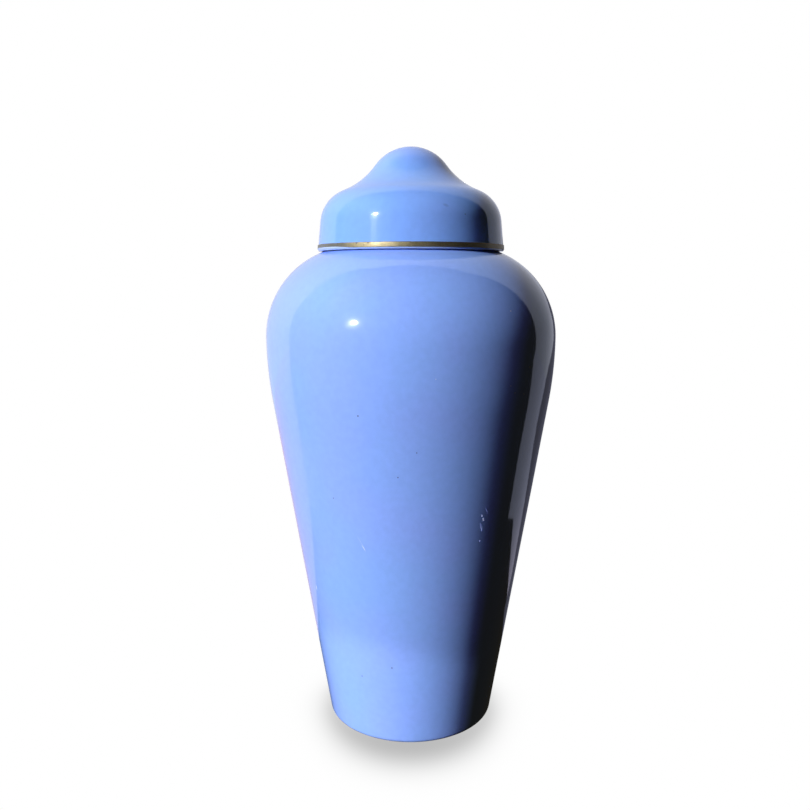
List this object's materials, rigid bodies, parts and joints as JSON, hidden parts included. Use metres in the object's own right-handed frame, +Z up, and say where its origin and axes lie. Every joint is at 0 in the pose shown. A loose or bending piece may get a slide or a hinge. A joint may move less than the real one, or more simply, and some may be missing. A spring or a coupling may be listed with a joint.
{
  "type": "potiche",
  "caption": "Tall high-shouldered jar of blue glazed ceramic with a narrow foot and a domed cap lid that lifts off its neck.",
  "frame": {"origin": "centre of the foot ring's underside, on the surface that the jar stands on", "axes": "+Z up along the axis that jar and lid are turned about, from the foot to the knob; X and Y level, any way round"},
  "size_m": [0.2491, 0.2492, 0.5001],
  "materials": {
    "blue_glaze": "gloss",
    "gilt": "worn gloss"
  },
  "bodies": {
    "jar": {"jar": "blue_glaze"},
    "lid": {"lid": "blue_glaze", "gilt_band": "gilt"}
  },
  "joints": [
    {"name": "lid_lift", "type": "slide", "parent": "jar", "child": "lid", "axis": [0, 0, 1], "range_m": [0, 0.12]}
  ]
}
